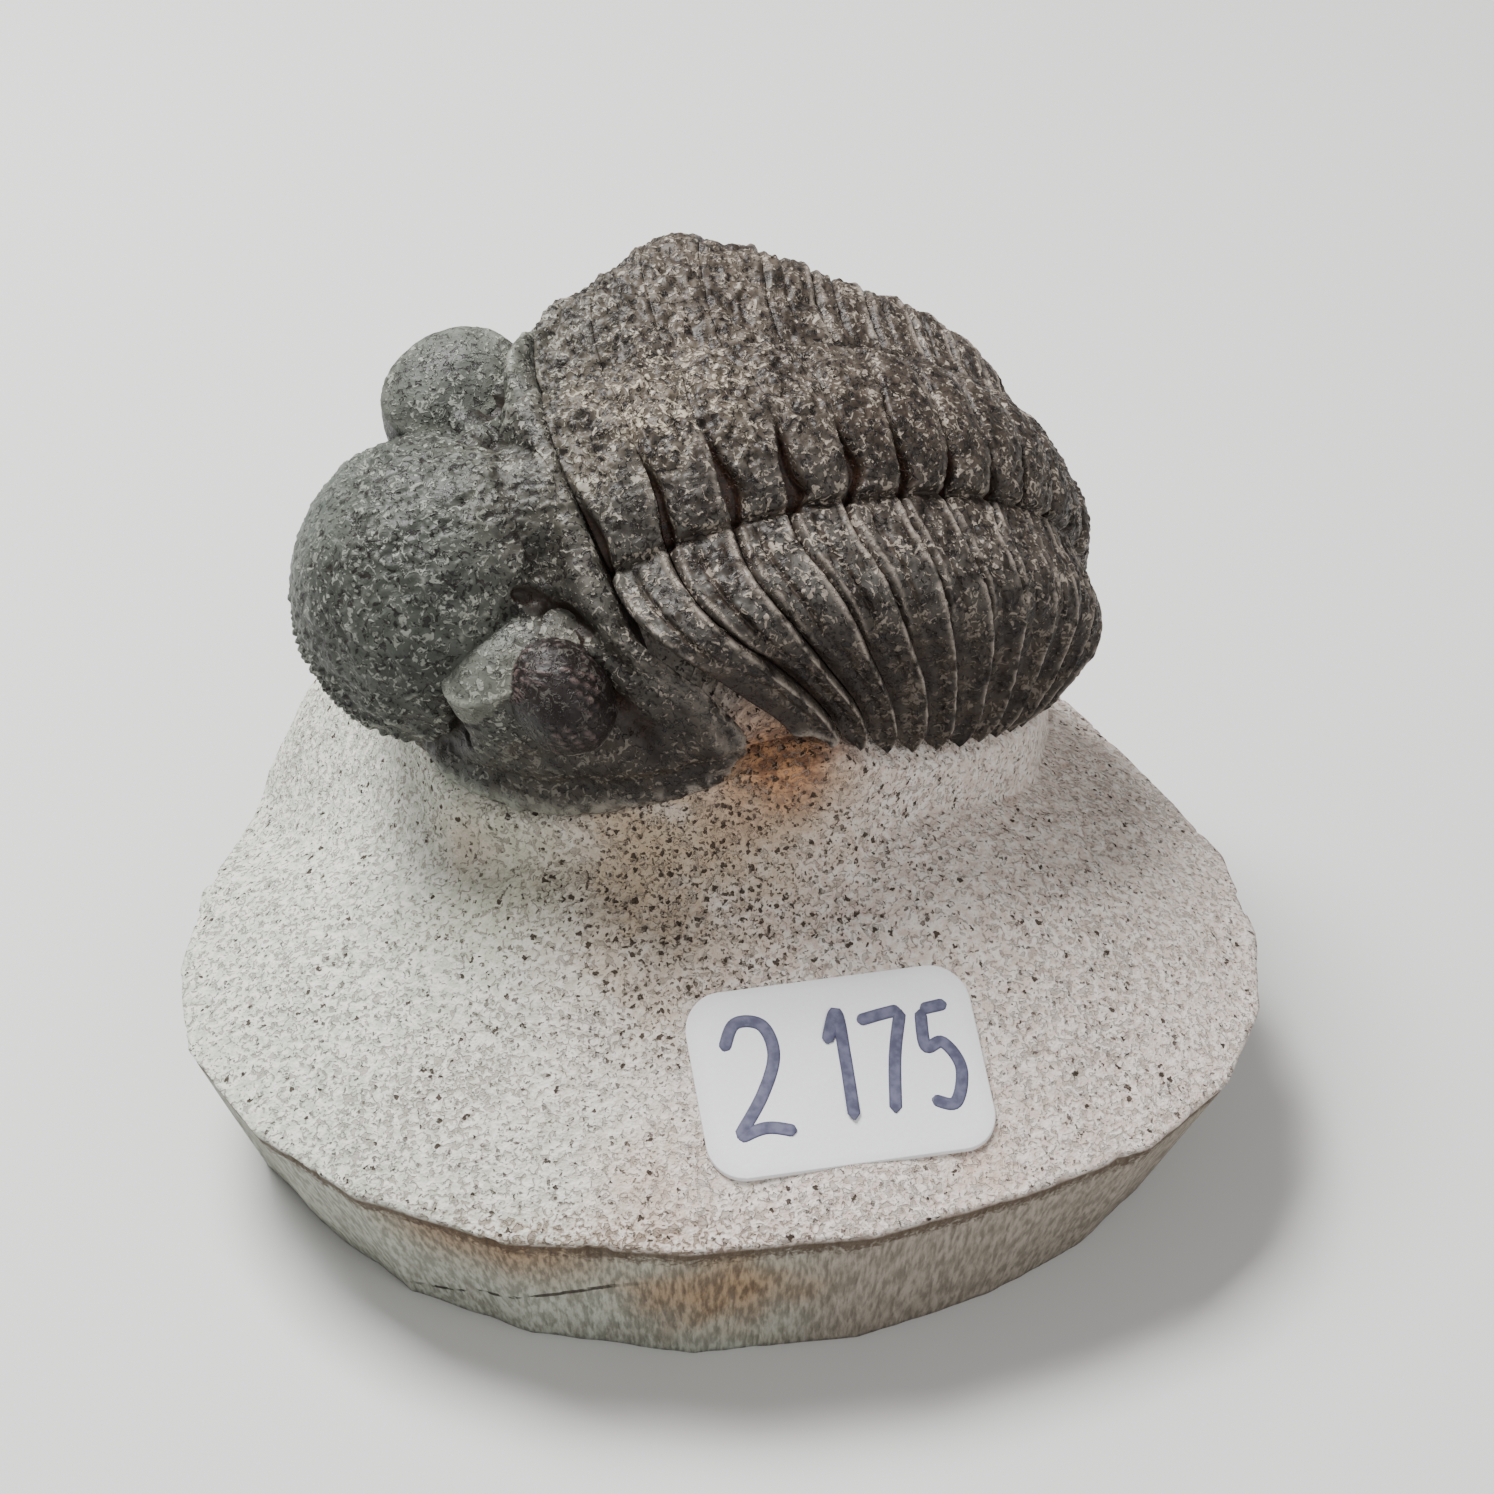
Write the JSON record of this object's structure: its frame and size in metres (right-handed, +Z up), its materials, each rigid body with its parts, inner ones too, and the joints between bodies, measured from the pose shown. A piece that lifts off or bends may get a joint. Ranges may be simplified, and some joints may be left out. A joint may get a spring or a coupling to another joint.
{
  "type": "trilobite in matrix",
  "caption": "Half enrolled phacopid trilobite with large compound eyes, standing on a pedestal of pale limestone on a sawn oval slab with a small paper label.",
  "frame": {"origin": "middle of the slab's flat underside, at the bottom centre of the bounding box", "axes": "+X along the slab's longest side towards the animal's tail, +Y away from the label, +Z up"},
  "size_m": [0.0714, 0.066, 0.0526],
  "materials": {
    "limestone": "pale cream and pinkish limestone, granular and pitted above, saw marked at the side",
    "carapace": "dark grey brown calcite shell, finely granular with a dull sheen",
    "label_paper": "smooth white paper with blue grey pen figures"
  },
  "bodies": {
    "root": {"matrix": "limestone", "cephalon": "carapace", "thoracic_segment_01": "carapace", "thoracic_segment_02": "carapace", "thoracic_segment_03": "carapace", "thoracic_segment_04": "carapace", "thoracic_segment_05": "carapace", "thoracic_segment_06": "carapace", "thoracic_segment_07": "carapace", "thoracic_segment_08": "carapace", "thoracic_segment_09": "carapace", "thoracic_segment_10": "carapace", "thoracic_segment_11": "carapace", "pygidium": "carapace", "label": "label_paper"}
  },
  "joints": []
}
